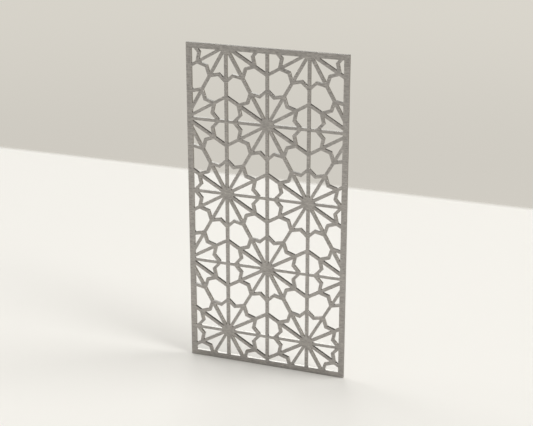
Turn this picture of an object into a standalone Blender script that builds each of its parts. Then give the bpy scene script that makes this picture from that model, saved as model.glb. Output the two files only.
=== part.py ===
"""A decorative metal screen: one flat plate with a lattice of twelve-pointed stars cut through it.

The plate stands upright. X runs across it, Y through its thickness with the front at -Y, and Z up.
The origin is the middle of its bottom edge.
"""

import math

import bmesh
import bpy
from mathutils import Vector

# The plate, in metres
PLATE_WIDTH = 0.600
PLATE_HEIGHT = 1.200
PLATE_THICKNESS = 0.010

# The metal left between the cuts. The notch of a ring can point up out of the border along the foot.
# Where it would be a tooth lower than THINNEST_TOOTH, the border stays straight.
BORDER_WIDTH = 0.020
BAR_WIDTH = 0.0113
THINNEST_TOOTH = 0.003

# The lattice of stars. Three neighbours make a triangle, drawn a little taller than an equal-sided one.
# Its rows are level, the first row lies just under the plate's top edge, and a star of every second
# row stands on the lattice's middle line, which is a little to the right of the plate's.
STAR_SPACING = 0.3073
LATTICE_STRETCH = 1.012
TOP_ROW_DROP = 0.006
LATTICE_SHIFT = 0.0028

# The zigzag ring round each star: how far apart the rings of two neighbours stay, and how deep a tooth is
RING_GAP = 0.0581
RING_TOOTH_DEPTH = 0.0208

# How far the cutter stands out of the plate's front and back
CUTTER_OVERSHOOT = 0.005

# The finish of the plate
PLATE_COLOUR = (0.36, 0.34, 0.31, 1.0)
PLATE_METALLIC = 1.0
PLATE_ROUGHNESS = 0.38

# Each star has twelve spokes. Six run on to its neighbours, and six end at the centres of the triangles.
SPOKES = 12
SPOKE_STEP = math.tau / SPOKES
HALF_STEP = SPOKE_STEP / 2
NEIGHBOUR_DIRECTIONS = (0, 2 * SPOKE_STEP, 4 * SPOKE_STEP)

# Worked out from the sizes above, before the stretch
ROW_SPACING = STAR_SPACING * math.cos(SPOKE_STEP)
STAR_TO_TRIANGLE_CENTRE = STAR_SPACING / 2 / math.cos(SPOKE_STEP)
RING_TIP_RADIUS = (STAR_SPACING - RING_GAP) / 2
RING_NOTCH_RADIUS = RING_TIP_RADIUS - RING_TOOTH_DEPTH


def clear_scene():
    for old in list(bpy.data.objects):
        bpy.data.objects.remove(old)


def new_collection(name):
    collection = bpy.data.collections.new(name)
    bpy.context.scene.collection.children.link(collection)
    return collection


def brushed_metal():
    material = bpy.data.materials.new("brushed_metal")
    material.use_nodes = True
    shader = material.node_tree.nodes["Principled BSDF"]
    shader.inputs["Base Color"].default_value = PLATE_COLOUR
    shader.inputs["Metallic"].default_value = PLATE_METALLIC
    shader.inputs["Roughness"].default_value = PLATE_ROUGHNESS
    return material


def polar(centre, radius, angle):
    """The point that lies this far from centre, in this direction."""
    return centre + Vector((radius * math.cos(angle), radius * math.sin(angle)))


def star_centres():
    """Every star whose cells can reach the plate, measured from the middle of the top row."""
    rows = math.ceil(PLATE_HEIGHT / (ROW_SPACING * LATTICE_STRETCH)) + 1
    columns = math.ceil(PLATE_WIDTH / 2 / STAR_SPACING) + 1
    for row in range(-1, rows + 1):
        sidestep = STAR_SPACING / 2 if row % 2 == 0 else 0
        for column in range(-columns, columns + 1):
            yield Vector((column * STAR_SPACING + sidestep, -row * ROW_SPACING))


def petals(star):
    """The dart-shaped cells between a star's spokes and its zigzag ring."""
    for spoke in range(SPOKES):
        angle = spoke * SPOKE_STEP
        yield [
            star,
            polar(star, RING_TIP_RADIUS, angle),
            polar(star, RING_NOTCH_RADIUS, angle + HALF_STEP),
            polar(star, RING_TIP_RADIUS, angle + SPOKE_STEP),
        ]


def ring_tooth(star, first_angle, turn):
    """Three corners of a star's ring: an outer one, the inner one beside it, and the next outer one."""
    return [
        polar(star, RING_TIP_RADIUS, first_angle),
        polar(star, RING_NOTCH_RADIUS, first_angle + turn * HALF_STEP),
        polar(star, RING_TIP_RADIUS, first_angle + turn * SPOKE_STEP),
    ]


def cells_beside(star, direction, side):
    """The cells on one side (1 or -1) of the bar from a star to its neighbour in this direction.

    A cell runs from one star's ring to the other's, and out to the centre of their triangle. Beside
    a level bar it is two cells, because an upright bar runs through the middle of it.
    """
    neighbour = polar(star, STAR_SPACING, direction)
    triangle_centre = polar(star, STAR_TO_TRIANGLE_CENTRE, direction + side * SPOKE_STEP)
    near = ring_tooth(star, direction, side)
    far = ring_tooth(neighbour, direction + math.pi, -side)[::-1]
    if direction == 0:
        middle = (star + neighbour) / 2
        return [near + [triangle_centre, middle], [middle, triangle_centre] + far]
    return [near + [triangle_centre] + far]


def lattice_cells():
    """The outline of every cell, along the middles of the bars."""
    cells = []
    for star in star_centres():
        cells.extend(petals(star))
        for direction in NEIGHBOUR_DIRECTIONS:
            cells.extend(cells_beside(star, direction, 1))
            cells.extend(cells_beside(star, direction, -1))
    return cells


def on_plate(point):
    """A point of the lattice as X and Z on the plate."""
    return Vector((LATTICE_SHIFT + point.x, PLATE_HEIGHT - TOP_ROW_DROP + point.y * LATTICE_STRETCH))


def signed_area(outline):
    return sum(a.cross(b) for a, b in zip(outline, outline[1:] + outline[:1])) / 2


def inward_normal(start, end):
    """The unit vector to the left of the way from start to end."""
    along = (end - start).normalized()
    return Vector((-along.y, along.x))


def moved_in(outline, distance):
    """The outline with each side moved this far inwards, so that its corners stay mitred."""
    corners = outline if signed_area(outline) > 0 else outline[::-1]
    moved = []
    for before, corner, after in zip(corners[-1:] + corners[:-1], corners, corners[1:] + corners[:1]):
        mitre = inward_normal(before, corner) + inward_normal(corner, after)
        moved.append(corner + mitre * (2 * distance / mitre.length_squared))
    return moved


def points_up(before, corner, after):
    """Whether the metal points up into the cut at this corner of its outline, which turns left."""
    return before.y < corner.y > after.y and (corner - before).cross(after - corner) < 0


def without_thin_teeth(outline):
    """The outline with each corner that would leave a thin tooth on the foot's border sunk into it."""
    kept = []
    for before, corner, after in zip(outline[-1:] + outline[:-1], outline, outline[1:] + outline[:1]):
        tooth_height = corner.y - BORDER_WIDTH
        if points_up(before, corner, after) and 0 < tooth_height < THINNEST_TOOTH:
            corner = Vector((corner.x, BORDER_WIDTH / 2))
        kept.append(corner)
    return kept


def trim(flat, point, outwards):
    """Removes what lies beyond a plane through the point."""
    bmesh.ops.bisect_plane(
        flat,
        geom=flat.verts[:] + flat.edges[:] + flat.faces[:],
        dist=1e-6,
        plane_co=point,
        plane_no=outwards,
        clear_outer=True,
    )


def cut_faces():
    """A flat mesh in the plane Y = 0 with a face for each cut, trimmed to the inside of the border."""
    flat = bmesh.new()
    for cell in lattice_cells():
        outline = without_thin_teeth(moved_in([on_plate(point) for point in cell], BAR_WIDTH / 2))
        flat.faces.new([flat.verts.new((point.x, 0, point.y)) for point in outline])
    side = PLATE_WIDTH / 2 - BORDER_WIDTH
    trim(flat, (side, 0, 0), (1, 0, 0))
    trim(flat, (-side, 0, 0), (-1, 0, 0))
    trim(flat, (0, 0, PLATE_HEIGHT - BORDER_WIDTH), (0, 0, 1))
    trim(flat, (0, 0, BORDER_WIDTH), (0, 0, -1))
    return flat


def make_cutter(collection):
    """The cuts as prisms that run right through the plate, in one helper object."""
    flat = cut_faces()
    reach = PLATE_THICKNESS / 2 + CUTTER_OVERSHOOT
    bmesh.ops.translate(flat, vec=(0, -reach, 0), verts=flat.verts)
    grown = bmesh.ops.extrude_face_region(flat, geom=flat.faces[:])
    far_side = [item for item in grown["geom"] if isinstance(item, bmesh.types.BMVert)]
    bmesh.ops.translate(flat, vec=(0, 2 * reach, 0), verts=far_side)
    bmesh.ops.recalc_face_normals(flat, faces=flat.faces)
    mesh = bpy.data.meshes.new("lattice_cuts")
    flat.to_mesh(mesh)
    flat.free()
    cutter = bpy.data.objects.new("lattice_cuts", mesh)
    cutter.hide_render = True
    cutter.display_type = "WIRE"
    collection.objects.link(cutter)
    return cutter


def make_plate(collection, cutter, material):
    """The plate as a box, with the cuts taken out of it."""
    solid = bmesh.new()
    bmesh.ops.create_cube(solid, size=1)
    bmesh.ops.scale(solid, vec=(PLATE_WIDTH, PLATE_THICKNESS, PLATE_HEIGHT), verts=solid.verts)
    bmesh.ops.translate(solid, vec=(0, 0, PLATE_HEIGHT / 2), verts=solid.verts)
    mesh = bpy.data.meshes.new("screen_panel")
    solid.to_mesh(mesh)
    solid.free()
    plate = bpy.data.objects.new("screen_panel", mesh)
    plate.data.materials.append(material)
    collection.objects.link(plate)
    cut = plate.modifiers.new("cut_lattice", "BOOLEAN")
    cut.operation = "DIFFERENCE"
    cut.object = cutter
    return plate


def main():
    clear_scene()
    cutter = make_cutter(new_collection("cutters"))
    make_plate(new_collection("decorative_metal_screen"), cutter, brushed_metal())


main()
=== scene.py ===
# %% [markdown]
# A screen cut from one metal plate
#
# The object is a flat, upright screen: one plate of brushed metal with a lattice of stars cut right
# through it. The CAD model has the exact outline of every cut. What is missing is what makes it look
# like metal: eased edges that catch the light, the brushed grain, and a studio to be reflected in it.
#
# Everything is in metres, with X across the plate, Y through it (the front is at -Y) and Z up.

import math

import bmesh
import bpy
import numpy as np
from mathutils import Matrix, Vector


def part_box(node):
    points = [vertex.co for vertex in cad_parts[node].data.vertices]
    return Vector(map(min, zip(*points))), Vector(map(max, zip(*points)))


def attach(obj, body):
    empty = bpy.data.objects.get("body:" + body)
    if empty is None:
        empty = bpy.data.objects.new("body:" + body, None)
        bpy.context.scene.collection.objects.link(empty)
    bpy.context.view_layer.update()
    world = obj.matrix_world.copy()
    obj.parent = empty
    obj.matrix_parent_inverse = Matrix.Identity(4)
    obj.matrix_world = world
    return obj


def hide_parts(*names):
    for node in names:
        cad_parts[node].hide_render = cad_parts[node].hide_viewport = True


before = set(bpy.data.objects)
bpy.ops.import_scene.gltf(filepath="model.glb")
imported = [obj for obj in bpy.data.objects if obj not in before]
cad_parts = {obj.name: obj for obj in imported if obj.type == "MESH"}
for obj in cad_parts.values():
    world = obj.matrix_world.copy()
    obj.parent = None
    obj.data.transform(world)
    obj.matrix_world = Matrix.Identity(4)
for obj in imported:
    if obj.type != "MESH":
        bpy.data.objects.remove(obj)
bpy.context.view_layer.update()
plate_low, plate_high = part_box("screen_panel")
plate_middle = (plate_low + plate_high) / 2
print("plate from", tuple(plate_low), "to", tuple(plate_high))

# %% [markdown]
# The camera
#
# The view is from the right and from above, and it looks at the middle of the plate. A long lens
# from almost five metres away keeps the plate's sides nearly parallel. A camera could be turned by
# three angles, but it is easier to say where it stands and what it looks at, and to let
# `to_track_quat` find the rotation: the camera's own -Z axis points at the aim, and its Y axis is up.
#
# The Standard view transform shows every colour as it was worked out, with no film curve over it.

# %% Camera
CAMERA_PLACE = Vector((1.5547, -4.1600, 2.1848))
CAMERA_LENS_MM = 89.08
SENSOR_WIDTH_MM = 36.0

scene = bpy.context.scene
camera = bpy.data.objects.new("camera", bpy.data.cameras.new("camera"))
scene.collection.objects.link(camera)
camera.data.lens = CAMERA_LENS_MM
camera.data.sensor_width = SENSOR_WIDTH_MM
camera.location = CAMERA_PLACE
camera.rotation_euler = (plate_middle - CAMERA_PLACE).to_track_quat("-Z", "Y").to_euler()
scene.camera = camera
scene.view_settings.view_transform = "Standard"
print("camera stands", round((plate_middle - CAMERA_PLACE).length, 3), "m from the plate's middle")

# %% [markdown]
# Materials out of nodes
#
# A material, or a world, is a small network. Each node turns the values at its input sockets into
# values at its outputs, and links carry them on to other nodes. An input that isn't linked has a
# value of its own.
#
# A few short functions do what is needed again and again. `feed` links an input or sets its value,
# whichever is given. `parts_of` splits a vector, `ranged` moves a number from one range to another,
# `mixed` mixes two numbers or two colours, and `ramp_between` turns a number into a colour.

# %% Node helpers
# Where a Mix node has its two inputs and its output, for each kind of value
MIX_SOCKETS = {"FLOAT": (2, 3, 0), "RGBA": (6, 7, 2)}


def new_material(name):
    """A new material, its node tree and its Principled shader."""
    made = bpy.data.materials.new(name)
    made.use_nodes = True
    return made, made.node_tree, made.node_tree.nodes["Principled BSDF"]


def add_node(tree, kind, place, **values):
    """A node of this kind, with the named properties or sockets set."""
    made = tree.nodes.new(kind)
    made.location = place
    for name, value in values.items():
        if hasattr(made, name):
            setattr(made, name, value)
        else:
            made.inputs[name.replace("_", " ").title()].default_value = value
    return made


def feed(tree, value, socket):
    """Links an output to the input socket, or sets the socket's own value."""
    if isinstance(value, bpy.types.NodeSocket):
        tree.links.new(value, socket)
    else:
        socket.default_value = value


def parts_of(tree, place, vector):
    """The outputs X, Y and Z of a vector."""
    made = add_node(tree, "ShaderNodeSeparateXYZ", place)
    feed(tree, vector, made.inputs["Vector"])
    return made.outputs


def ranged(tree, place, value, from_range, to_range=(0.0, 1.0), curve="LINEAR"):
    """The number moved from one range to the other, and held inside it."""
    made = add_node(tree, "ShaderNodeMapRange", place, interpolation_type=curve)
    made.inputs["From Min"].default_value, made.inputs["From Max"].default_value = from_range
    made.inputs["To Min"].default_value, made.inputs["To Max"].default_value = to_range
    feed(tree, value, made.inputs["Value"])
    return made.outputs["Result"]


def mixed(tree, place, kind, share, first, second):
    """Two numbers (FLOAT) or two colours (RGBA) mixed, with this share of the second."""
    made = add_node(tree, "ShaderNodeMix", place, data_type=kind)
    first_input, second_input, output = MIX_SOCKETS[kind]
    feed(tree, share, made.inputs[0])
    feed(tree, first, made.inputs[first_input])
    feed(tree, second, made.inputs[second_input])
    return made.outputs[output]


def ramp_between(tree, place, value, limits, colours):
    """A colour that turns from the first into the second while the value crosses the limits."""
    made = add_node(tree, "ShaderNodeValToRGB", place)
    made.color_ramp.interpolation = "EASE"
    for element, position, colour in zip(made.color_ramp.elements, limits, colours):
        element.position = position
        element.color = colour
    feed(tree, value, made.inputs["Fac"])
    return made.outputs["Color"]


print("a Mix node can mix", " or ".join(MIX_SOCKETS))

# %% [markdown]
# The floor
#
# The floor is a pale, matt sheet that ends a little over two metres behind the screen, where the
# plain background begins. The background is only a colour on the world, so nothing stands in the way
# of a camera behind the screen. The line between them is a little soft, so the sheet fades out over
# its last centimetres: its alpha is a smooth step of Y. A matt floor has no highlights of its own,
# but it matters twice: it takes the soft shadows, and the front of the plate reflects it.
#
# The screen is held by its edges, so it needn't rest on the floor. The floor lies a little over a
# millimetre below it, and the gap shows as the thin dark line under the foot of the plate.

# %% Floor
FLOOR_COLOUR = (0.815, 0.795, 0.750, 1.0)
FLOOR_ROUGHNESS = 0.85
FLOOR_SPECULAR = 0.1
FLOOR_HEIGHT = -0.0012
FLOOR_FADE_START = 2.060
FLOOR_BACK_EDGE = 2.126
FLOOR_REACH = 40.0

floor_paint, tree, shader = new_material("matt_floor")
shader.inputs["Base Color"].default_value = FLOOR_COLOUR
shader.inputs["Roughness"].default_value = FLOOR_ROUGHNESS
shader.inputs["Specular IOR Level"].default_value = FLOOR_SPECULAR
where = add_node(tree, "ShaderNodeTexCoord", (-800, 0)).outputs["Object"]
back = parts_of(tree, (-600, 0), where)["Y"]
edge_range = (FLOOR_FADE_START, FLOOR_BACK_EDGE)
fade = ranged(tree, (-400, 0), back, edge_range, (1.0, 0.0), curve="SMOOTHSTEP")
feed(tree, fade, shader.inputs["Alpha"])

floor_corners = [
    (-FLOOR_REACH, -FLOOR_REACH, FLOOR_HEIGHT),
    (FLOOR_REACH, -FLOOR_REACH, FLOOR_HEIGHT),
    (FLOOR_REACH, FLOOR_BACK_EDGE, FLOOR_HEIGHT),
    (-FLOOR_REACH, FLOOR_BACK_EDGE, FLOOR_HEIGHT),
]
floor_mesh = bpy.data.meshes.new("floor")
floor_mesh.from_pydata(floor_corners, [], [(0, 1, 2, 3)])
floor_mesh.materials.append(floor_paint)
floor = bpy.data.objects.new("floor", floor_mesh)
scene.collection.objects.link(floor)
print("floor", 2 * FLOOR_REACH, "m wide, up to", FLOOR_BACK_EDGE, "m behind the plate")

# %% [markdown]
# The background
#
# The world does two jobs. The camera sees a plain warm grey that gets a little lighter upwards and to
# the right. The metal and the floor see a studio: bright behind the screen, and dark behind the
# camera. `Light Path` tells the two kinds of ray apart.
#
# The direction of a ray is a point on the unit sphere, so its Z is the sine of its height above the
# horizon. One ramp turns that height into the tones behind the screen, and a second one, over Y,
# turns them into the dark tone behind the camera. The largest light behind the screen is painted
# here too, because its edges are soft: the upper sides of the level bars get brighter from the top
# of the screen to its foot, little by little. How far a ray points away from the middle of that light
# is a dot product, the cosine of the angle between them, and a smooth step turns it into brightness.

# %% World
SINES = (-1.0, 1.0)


def on_ramp(*sines):
    """Where sines from -1 to 1 lie on a ramp from 0 to 1."""
    return [(sine + 1) / 2 for sine in sines]


def scaled(tree, place, vector, factor):
    """The vector or colour times the factor."""
    made = add_node(tree, "ShaderNodeVectorMath", place, operation="SCALE")
    feed(tree, vector, made.inputs["Vector"])
    feed(tree, factor, made.inputs["Scale"])
    return made.outputs["Vector"]


world = bpy.data.worlds.new("studio")
world.use_nodes = True
scene.world = world
sky = world.node_tree
ray = add_node(sky, "ShaderNodeTexCoord", (-1200, 0)).outputs["Generated"]
ray_parts = parts_of(sky, (-1000, 0), ray)
ray_height = ranged(sky, (-800, 100), ray_parts["Z"], SINES)
ray_depth = ranged(sky, (-800, -400), ray_parts["Y"], SINES)
print("a ray is split with", len(sky.nodes), "nodes")

# %% The plain background
BACKGROUND_SINES = (-0.30, -0.17)
BACKGROUND_LOW = (0.625, 0.598, 0.541, 1.0)
BACKGROUND_HIGH = (0.690, 0.662, 0.598, 1.0)
BACKGROUND_SIDE_SINES = (-0.52, -0.14)
BACKGROUND_SHADE = (0.982, 1.014)

tones = (BACKGROUND_LOW, BACKGROUND_HIGH)
plain = ramp_between(sky, (-600, 300), ray_height, on_ramp(*BACKGROUND_SINES), tones)
shade = ranged(sky, (-600, 550), ray_parts["X"], BACKGROUND_SIDE_SINES, BACKGROUND_SHADE)
background = scaled(sky, (-300, 400), plain, shade)
print("background nodes:", len(sky.nodes))

# %% The studio around it
BLACK = (0.0, 0.0, 0.0, 1.0)
WHITE = (1.0, 1.0, 1.0, 1.0)
STUDIO_SINES = (0.22, 0.40)
STUDIO_LOW = (0.75, 0.72, 0.66, 1.0)
STUDIO_HIGH = (0.26, 0.25, 0.24, 1.0)
STUDIO_DEPTH_SINES = (0.35, 0.80)
STUDIO_FRONT = (0.14, 0.14, 0.135, 1.0)

tones = (STUDIO_LOW, STUDIO_HIGH)
behind = ramp_between(sky, (-600, -100), ray_height, on_ramp(*STUDIO_SINES), tones)
limits = on_ramp(*STUDIO_DEPTH_SINES)
is_behind = ramp_between(sky, (-600, -400), ray_depth, limits, (BLACK, WHITE))
studio = mixed(sky, (-300, -200), "RGBA", is_behind, STUDIO_FRONT, behind)
print("studio nodes:", len(sky.nodes))

# %% The glow behind the screen
GLOW_AZIMUTH = 112.5
GLOW_ELEVATION = 26
GLOW_INNER_ANGLE = 1
GLOW_OUTER_ANGLE = 16
GLOW_RADIANCE = (3.00, 3.12, 3.18)


def direction(azimuth, elevation):
    """The unit vector at this azimuth, turning left from +X, and this height over the horizon."""
    a, e = math.radians(azimuth), math.radians(elevation)
    return Vector((math.cos(a) * math.cos(e), math.sin(a) * math.cos(e), math.sin(e)))


cosine = add_node(sky, "ShaderNodeVectorMath", (-800, -700), operation="DOT_PRODUCT")
feed(sky, ray, cosine.inputs[0])
feed(sky, direction(GLOW_AZIMUTH, GLOW_ELEVATION), cosine.inputs[1])
edge_cosines = [math.cos(math.radians(angle)) for angle in (GLOW_OUTER_ANGLE, GLOW_INNER_ANGLE)]
glow = ranged(sky, (-600, -700), cosine.outputs["Value"], edge_cosines, curve="SMOOTHSTEP")
lit = add_node(sky, "ShaderNodeVectorMath", (-100, -300), operation="ADD")
feed(sky, studio, lit.inputs[0])
feed(sky, scaled(sky, (-300, -600), GLOW_RADIANCE, glow), lit.inputs[1])
print("glow nodes:", len(sky.nodes))

# %% Which of the two a ray sees
from_camera = add_node(sky, "ShaderNodeLightPath", (-100, 500)).outputs["Is Camera Ray"]
seen = mixed(sky, (150, 100), "RGBA", from_camera, lit.outputs["Vector"], background)
feed(sky, seen, sky.nodes["Background"].inputs["Color"])
print("world nodes:", len(sky.nodes))

# %% [markdown]
# The lights
#
# Five softboxes light the floor, beside the glow of the world. The main one is high at the right,
# almost in the plane of the plate, so the shadow spreads to the left on both sides of it. A low one
# at the right, a little in front, gives that shadow its sharper core. One hangs overhead and one is
# low at the left, which softens the rest, and the last is behind at the left.
#
# All of them are far away and large, like a bright sky in a few directions. A lamp close by would
# light one part of the floor more than another, and this floor is even. Each lamp is placed by its
# direction and by how wide and tall it looks from the plate, and gets the share of the floor's light
# that comes from it. What a panel of radiance 1 gives the floor is a sum over its small patches: the
# solid angle that a patch covers, times the sine of its height over the horizon. The share divided by
# that sum is the radiance, and the lamp's power is pi * radiance * area.

# %% Softboxes
FLOOR_RADIANCE = 0.896
FLOOR_LIGHT = math.pi * FLOOR_RADIANCE / FLOOR_COLOUR[1]
LAMP_DISTANCE = 60.0
PATCHES = 24

# Name, azimuth and elevation, how wide and how tall it looks in degrees, and its share
SOFTBOXES = (
    ("right_low_softbox", -12, 13, 24, 16, 0.053),
    ("right_high_softbox", 2, 46, 44, 30, 0.415),
    ("overhead_softbox", 270, 84, 50, 48, 0.122),
    ("left_softbox", 168, 18, 36, 25, 0.132),
    ("back_softbox", 122, 42, 27, 20, 0.068),
)


def light_on_floor(towards, half_width, half_height):
    """What a panel of radiance 1 gives the floor: the sum of solid angle * sine of the height.

    The panel stands at distance 1 and faces the plate. A patch of area a, whose line of sight has
    the length r, covers the solid angle a / r^3.
    """
    across = Vector((-towards.y, towards.x, 0)).normalized()
    upwards = towards.cross(across)
    steps = (np.arange(PATCHES) + 0.5) / PATCHES * 2 - 1
    u, v = np.meshgrid(steps * half_width, steps * half_height)
    sight_z = towards.z + u * across.z + v * abs(upwards.z)
    sight = np.sqrt(1 + u**2 + v**2)
    area = 4 * half_width * half_height / PATCHES**2
    return (area / sight**3 * np.clip(sight_z / sight, 0, None)).sum()


def add_softbox(name, azimuth, elevation, wide, tall, share):
    """A far panel that looks so wide and tall, in degrees, and gives the floor this share of light."""
    towards = direction(azimuth, elevation)
    half_width = math.tan(math.radians(wide / 2))
    half_height = math.tan(math.radians(tall / 2))
    radiance = share * FLOOR_LIGHT / light_on_floor(towards, half_width, half_height)
    lamp = bpy.data.lights.new(name, "AREA")
    lamp.shape = "RECTANGLE"
    lamp.size = 2 * LAMP_DISTANCE * half_width
    lamp.size_y = 2 * LAMP_DISTANCE * half_height
    lamp.energy = math.pi * radiance * lamp.size * lamp.size_y
    holder = bpy.data.objects.new(name, lamp)
    scene.collection.objects.link(holder)
    holder.location = plate_middle + LAMP_DISTANCE * towards
    holder.rotation_euler = (-towards).to_track_quat("-Z", "Y").to_euler()
    holder.visible_camera = False
    print(f"{name}: radiance {radiance:.2f}")


for softbox in SOFTBOXES:
    add_softbox(*softbox)

# %% [markdown]
# The outlines of the cuts
#
# The CAD plate has sharp edges, which no real plate has, and sharp edges reflect nothing. A Bevel
# modifier could ease them, but here every edge lies on an outline that runs round the front, so the
# eased edge can be swept round it exactly. The outlines are read from a merged copy of the CAD
# mesh: an edge of a front triangle that no other front triangle shares lies on an outline. All the
# edges run with the metal on their left, because a triangle's corners go round to the left.

# %% Read the outlines
# A triangle faces the front if the Y of its direction is under FACES_FRONT
MERGE_DISTANCE = 1e-6
FACES_FRONT = -0.5


def merged_triangles(node):
    """Corners and triangles of a CAD node, with the loose triangles joined where they touch."""
    work = bmesh.new()
    work.from_mesh(node.data)
    bmesh.ops.remove_doubles(work, verts=work.verts, dist=MERGE_DISTANCE)
    bmesh.ops.triangulate(work, faces=work.faces)
    mesh = bpy.data.meshes.new("merged_copy")
    work.to_mesh(mesh)
    work.free()
    points = np.empty(len(mesh.vertices) * 3)
    mesh.vertices.foreach_get("co", points)
    triangles = np.empty(len(mesh.polygons) * 3, int)
    mesh.polygons.foreach_get("vertices", triangles)
    facing = np.empty(len(mesh.polygons) * 3)
    mesh.polygons.foreach_get("normal", facing)
    bpy.data.meshes.remove(mesh)
    return points.reshape(-1, 3), triangles.reshape(-1, 3), facing.reshape(-1, 3)


def outline_edges(triangles, count):
    """Directed edges that only one triangle has: those whose reverse isn't among the edges."""
    starts = triangles.ravel()
    ends = np.roll(triangles, -1, axis=1).ravel()
    lonely = ~np.isin(starts * count + ends, ends * count + starts)
    return starts[lonely], ends[lonely]


points, triangles, facing = merged_triangles(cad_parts["screen_panel"])
front_triangles = triangles[facing[:, 1] < FACES_FRONT]
edge_starts, edge_ends = outline_edges(front_triangles, len(points))
order = np.argsort(edge_starts)
edge_starts, edge_ends = edge_starts[order], edge_ends[order]
corners = points[edge_starts][:, [0, 2]]
next_corner = np.searchsorted(edge_starts, edge_ends)
last_corner = np.argsort(next_corner)
print("outline corners:", len(corners), "front triangles:", len(front_triangles))

# %% [markdown]
# Round corners
#
# The jet or beam that cuts a plate has a width, so it leaves a small round in every inner corner,
# and polishing takes the point off the outer ones. Each corner becomes an arc. With the unit
# vectors `a` along the side that arrives and `n` to its left, and a turn to the left by the angle
# `t`, the arc starts where the round touches the side, and its point after a turn of `p` is
# start + r * (sin|p| * a + (1 - cos p) * sign(t) * n). Where two corners are close together the
# radius shrinks, so that the rounds never meet.

# %% Round the corners
CORNER_RADIUS = 0.0007
CORNER_STEPS = 3
SIDE_SHARE = 0.45


def rounded(corners, next_corner, last_corner, radius, steps):
    """Points on the rounds, as corner by step by (x, z), and unit vectors into the metal there."""
    arriving = corners - corners[last_corner]
    reach = np.linalg.norm(arriving, axis=1)
    along = arriving / reach[:, None]
    left = np.stack([-along[:, 1], along[:, 0]], axis=1)
    leaving = along[next_corner]
    turn = np.arctan2((left * leaving).sum(axis=1), (along * leaving).sum(axis=1))
    room = SIDE_SHARE * np.minimum(reach, reach[next_corner])
    fitted = np.minimum(radius, room / np.tan(np.abs(turn) / 2))
    touch = corners - along * (fitted * np.tan(np.abs(turn) / 2))[:, None]
    angle = turn[:, None] * np.linspace(0, 1, steps + 1)
    sideways = fitted[:, None] * np.sign(turn)[:, None] * (1 - np.cos(angle))
    forwards = fitted[:, None] * np.sin(np.abs(angle))
    outline = touch[:, None] + forwards[..., None] * along[:, None]
    outline = outline + sideways[..., None] * left[:, None]
    inwards = np.cos(angle)[..., None] * left[:, None] - np.sin(angle)[..., None] * along[:, None]
    return outline, inwards, fitted, turn


rounds = rounded(corners, next_corner, last_corner, CORNER_RADIUS, CORNER_STEPS)
outline, inwards, corner_radii, turns = rounds
radii_mm = corner_radii * 1000
print("corner radii, mm:", radii_mm.min().round(3), "to", radii_mm.max().round(3))
turned_by = np.degrees(np.abs(turns))
print("turns, degrees:", turned_by.min().round(1), "to", turned_by.max().round(1))

# %% [markdown]
# The edge, as a profile swept along the outlines
#
# Cut through the plate anywhere and the metal's edge looks the same: a quarter round, a straight
# wall, and a quarter round. That profile has two numbers for each of its points: how far it lies
# inside the outline, and how deep it lies in the plate. Sweeping it along the outlines is one
# addition of arrays: point + inwards * inset, at the profile's depth.
#
# The same two arrays give the exact direction that the surface faces at each point, which is
# handed to the mesh later. Blender would otherwise average the directions of neighbouring faces,
# and long thin faces beside narrow ones then look bent.

# %% Sweep the edge
ARRIS_RADIUS = 0.00035
ARRIS_STEPS = 3


def edge_profile(thickness, radius, steps):
    """Inset, depth and the facing's two parts, outwards and along Y, from the front to the back."""
    angle = np.linspace(0, math.pi / 2, steps + 1)
    inset = radius * (1 - np.sin(angle))
    depth = radius * (1 - np.cos(angle)) - thickness / 2
    outwards, along_y = np.sin(angle), -np.cos(angle)
    inset = np.concatenate([inset, inset[::-1]])
    depth = np.concatenate([depth, -depth[::-1]])
    outwards = np.concatenate([outwards, outwards[::-1]])
    along_y = np.concatenate([along_y, -along_y[::-1]])
    return inset, depth, outwards, along_y


plate_thickness = plate_high.y - plate_low.y
inset, depth, outwards_part, along_y_part = edge_profile(plate_thickness, ARRIS_RADIUS, ARRIS_STEPS)
path_points = outline.reshape(-1, 2)
path_inwards = inwards.reshape(-1, 2)
swept = path_points[:, None] + path_inwards[:, None] * inset[None, :, None]
surface = np.empty((len(path_points), len(inset), 3))
surface[..., 0] = swept[..., 0]
surface[..., 1] = plate_middle.y + depth
surface[..., 2] = swept[..., 1]
normals = np.empty_like(surface)
normals[..., 0] = -path_inwards[:, None, 0] * outwards_part
normals[..., 1] = along_y_part
normals[..., 2] = -path_inwards[:, None, 1] * outwards_part
print("swept surface:", surface.shape)

# %% Faces of the edge
path_row = np.arange(len(path_points)).reshape(-1, CORNER_STEPS + 1)
next_row = np.roll(path_row, -1, axis=1)
next_row[:, -1] = path_row[next_corner, 0]
path_row, next_row = path_row.reshape(-1, 1), next_row.reshape(-1, 1)
row_length = len(inset)
column = np.arange(row_length - 1)
here, there = path_row * row_length + column, next_row * row_length + column
edge_quads = np.stack([here, here + 1, there + 1, there], axis=-1).reshape(-1, 4)
print("edge faces:", len(edge_quads))

# %% [markdown]
# The two flat sides
#
# The front and the back are flat sheets with 180 holes. A Boolean could cut them, but the outlines
# are already there, so the sheet is only the space between them, split into triangles. Blender's
# `triangle_fill` does that: it fills between an outer outline and the ones inside it. The
# triangles are then turned to face the front, by the sign of their area. The back is the same sheet
# with its triangles turned round.

# %% Fill the sheets
def filled(flat_points, edges):
    """Triangles between the outlines, as rows of three point numbers."""
    work = bmesh.new()
    corners = [work.verts.new((x, 0, z)) for x, z in flat_points]
    sides = [work.edges.new((corners[start], corners[end])) for start, end in edges]
    work.verts.index_update()
    bmesh.ops.triangle_fill(work, use_beauty=True, use_dissolve=False, edges=sides)
    made = np.array([[corner.index for corner in face.verts] for face in work.faces])
    work.free()
    return made


def doubled_area(flat_points, triangles):
    """Twice the area of each triangle, negative where its corners go round to the right."""
    first, second, third = (flat_points[triangles[:, corner]] for corner in range(3))
    along, beyond = second - first, third - first
    return along[:, 0] * beyond[:, 1] - along[:, 1] * beyond[:, 0]


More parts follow.
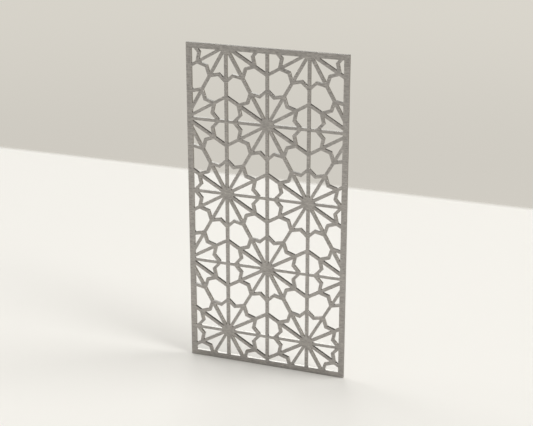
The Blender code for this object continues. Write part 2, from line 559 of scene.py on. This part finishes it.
front_outline = swept[:, 0]
sheet_rows = filled(front_outline, np.hstack([path_row, next_row]))
turned = doubled_area(front_outline, sheet_rows) < 0
sheet_rows[turned] = sheet_rows[turned][:, ::-1]
front_faces = sheet_rows * row_length
back_faces = (sheet_rows * row_length + row_length - 1)[:, ::-1]
sheet_area = doubled_area(front_outline, sheet_rows).sum() / 2
print("sheet triangles:", len(sheet_rows), "area, m2:", sheet_area.round(5))

# %% Make the plate's mesh
FACE_MATERIAL, WALL_MATERIAL = 0, 1
WALL_COLUMN = ARRIS_STEPS

plate_mesh = bpy.data.meshes.new("screen")
faces = front_faces.tolist() + back_faces.tolist() + edge_quads.tolist()
plate_mesh.from_pydata(surface.reshape(-1, 3).tolist(), [], faces)
plate_mesh.polygons.foreach_set("use_smooth", np.ones(len(faces), bool))
is_wall = np.tile(column == WALL_COLUMN, len(path_row))
is_wall = np.concatenate([np.zeros(2 * len(sheet_rows), bool), is_wall])
material_numbers = np.where(is_wall, WALL_MATERIAL, FACE_MATERIAL).astype(np.int32)
plate_mesh.polygons.foreach_set("material_index", material_numbers)
plate_mesh.normals_split_custom_set_from_vertices(normals.reshape(-1, 3).tolist())
plate_mesh.validate()
screen = bpy.data.objects.new("screen", plate_mesh)
scene.collection.objects.link(screen)
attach(screen, "root")
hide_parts("screen_panel")
print("plate:", len(plate_mesh.vertices), "points,", len(plate_mesh.polygons), "faces")

# %% [markdown]
# Which way the grain runs
#
# Brushed metal spreads a reflection across its scratches and hardly along them. The shader needs
# to know that direction at every point, and it takes it from a UV map: the spread runs the way the
# map's first number grows. The scratches run level, along X, so the first number is Z.
#
# A second helper is a number on each point that says how much it belongs to the eased edge, where
# handling has polished the metal a little.

# %% Grain direction and worn edges
grain = plate_mesh.uv_layers.new(name="grain")
loop_points = np.empty(len(plate_mesh.loops), int)
plate_mesh.loops.foreach_get("vertex_index", loop_points)
grain_values = surface.reshape(-1, 3)[loop_points][:, [2, 0]]
grain.data.foreach_set("uv", grain_values.ravel())
arris_weight = np.broadcast_to(outwards_part, surface.shape[:2])
arris = plate_mesh.attributes.new("arris", "FLOAT", "POINT")
arris.data.foreach_set("value", arris_weight.ravel().astype(np.float32))
print("worn points:", int((arris_weight > 0).sum()))

# %% [markdown]
# The brushed finish
#
# Seen from a step away, the plate is a soft grey with level streaks and a faint cloudiness. An image
# of brushed metal could be laid over it, but noise stretched along X gives the same streaks at any
# size and never repeats. Three noises are mixed: short fine streaks, long ones, and clouds. The mix
# moves the colour, the roughness and the height together, because a deeper scratch is darker, duller
# and lower all at once.
#
# On the eased edges the finish turns lighter and smoother, by the number that was stored on each
# point: hands and cloths reach the edges first.

# %% The pattern of the brushing
STREAK_SIZE = (0.0115, 0.02, 0.0019)
STREAK_DETAIL = 3.0
STREAK_ROUGHNESS = 0.6
LONG_STREAK_SIZE = (0.045, 0.02, 0.0018)
LONG_STREAK_SHARE = 0.28
CLOUD_SIZE = (0.030, 0.030, 0.030)
CLOUD_SHARE = 0.06


def stretched_noise(tree, place, coordinates, size, detail=2.0, roughness=0.5):
    """Noise whose patches are about so long in X, Y and Z, in metres."""
    x, y = place
    stretch = add_node(tree, "ShaderNodeMapping", (x, y), scale=tuple(1 / s for s in size))
    feed(tree, coordinates, stretch.inputs["Vector"])
    finer = {"detail": detail, "roughness": roughness}
    noise = add_node(tree, "ShaderNodeTexNoise", (x + 200, y), scale=1.0, **finer)
    feed(tree, stretch.outputs["Vector"], noise.inputs["Vector"])
    return noise.outputs["Fac"]


brushed, tree, shader = new_material("brushed_face")
where = add_node(tree, "ShaderNodeTexCoord", (-1500, 0)).outputs["Object"]
finer = {"detail": STREAK_DETAIL, "roughness": STREAK_ROUGHNESS}
streaks = stretched_noise(tree, (-1300, 300), where, STREAK_SIZE, **finer)
long_streaks = stretched_noise(tree, (-1300, 0), where, LONG_STREAK_SIZE)
clouds = stretched_noise(tree, (-1300, -300), where, CLOUD_SIZE)
both = mixed(tree, (-850, 200), "FLOAT", LONG_STREAK_SHARE, streaks, long_streaks)
pattern = mixed(tree, (-650, 100), "FLOAT", CLOUD_SHARE, both, clouds)
print("pattern of the brushing:", len(tree.nodes), "nodes")

# %% Brushed metal
METAL_TONES = ((0.271, 0.258, 0.247, 1.0), (0.500, 0.476, 0.453, 1.0))
METAL_TONE_LIMITS = (0.32, 0.68)
METAL_ROUGHNESS = (0.38, 0.25)
ROUGHNESS_LIMITS = (0.3, 0.7)
WORN_TONE = (0.560, 0.534, 0.506, 1.0)
WORN_ROUGHNESS = 0.16
BRUSHED_SPREAD = 0.5
SCRATCH_DEPTH = 0.00004
SCRATCH_STRENGTH = 0.6


def add_bump(tree, place, shader, height, strength, depth):
    """Makes the surface look uneven by a height from 0 to 1, which stands for this depth."""
    made = add_node(tree, "ShaderNodeBump", place, strength=strength, distance=depth)
    feed(tree, height, made.inputs["Height"])
    feed(tree, made.outputs["Normal"], shader.inputs["Normal"])


worn = add_node(tree, "ShaderNodeAttribute", (-650, -200), attribute_name="arris").outputs["Fac"]
tone = ramp_between(tree, (-400, 300), pattern, METAL_TONE_LIMITS, METAL_TONES)
tone = mixed(tree, (-150, 300), "RGBA", worn, tone, WORN_TONE)
feed(tree, tone, shader.inputs["Base Color"])
dullness = ranged(tree, (-400, 0), pattern, ROUGHNESS_LIMITS, METAL_ROUGHNESS)
dullness = mixed(tree, (-150, 0), "FLOAT", worn, dullness, WORN_ROUGHNESS)
feed(tree, dullness, shader.inputs["Roughness"])
add_bump(tree, (-400, -300), shader, pattern, SCRATCH_STRENGTH, SCRATCH_DEPTH)
tangent = add_node(tree, "ShaderNodeTangent", (-400, -500), direction_type="UV_MAP", uv_map="grain")
feed(tree, tangent.outputs["Tangent"], shader.inputs["Tangent"])
shader.inputs["Metallic"].default_value = 1.0
shader.inputs["Anisotropic"].default_value = BRUSHED_SPREAD
plate_mesh.materials.append(brushed)
print("brushed face:", len(tree.nodes), "nodes")

# %% [markdown]
# The cut edges
#
# A cut leaves the wall smoother than the brushed face, with fine lines that run straight through
# the plate, front to back. Noise stretched along Y draws those lines on every wall, whichever way
# the wall faces, because it only changes in X and Z. The walls act almost like mirrors: the upper
# sides of the bars show the bright glow behind, and others show the dark part of the studio.

# %% Cut metal
CUT_LINE_SIZE = (0.0006, 0.05, 0.0006)
STAIN_SIZE = (0.012, 0.012, 0.012)
STAIN_SHARE = 0.4
CUT_TONES = ((0.297, 0.283, 0.260, 1.0), (0.421, 0.402, 0.373, 1.0))
CUT_TONE_LIMITS = (0.35, 0.65)
CUT_GRAZING_TINT = (0.62, 0.62, 0.62, 1.0)
CUT_ROUGHNESS = (0.24, 0.14)
CUT_LINE_DEPTH = 0.00001
CUT_LINE_STRENGTH = 0.4

cut, tree, shader = new_material("cut_edge")
where = add_node(tree, "ShaderNodeTexCoord", (-1200, 0)).outputs["Object"]
lines = stretched_noise(tree, (-1000, 200), where, CUT_LINE_SIZE)
stains = stretched_noise(tree, (-1000, -100), where, STAIN_SIZE)
pattern = mixed(tree, (-600, 100), "FLOAT", STAIN_SHARE, lines, stains)
tone = ramp_between(tree, (-400, 300), pattern, CUT_TONE_LIMITS, CUT_TONES)
feed(tree, tone, shader.inputs["Base Color"])
dullness = ranged(tree, (-400, 0), pattern, ROUGHNESS_LIMITS, CUT_ROUGHNESS)
feed(tree, dullness, shader.inputs["Roughness"])
add_bump(tree, (-400, -300), shader, pattern, CUT_LINE_STRENGTH, CUT_LINE_DEPTH)
shader.inputs["Metallic"].default_value = 1.0
shader.inputs["Specular Tint"].default_value = CUT_GRAZING_TINT
plate_mesh.materials.append(cut)
print("cut edge:", len(tree.nodes), "nodes")
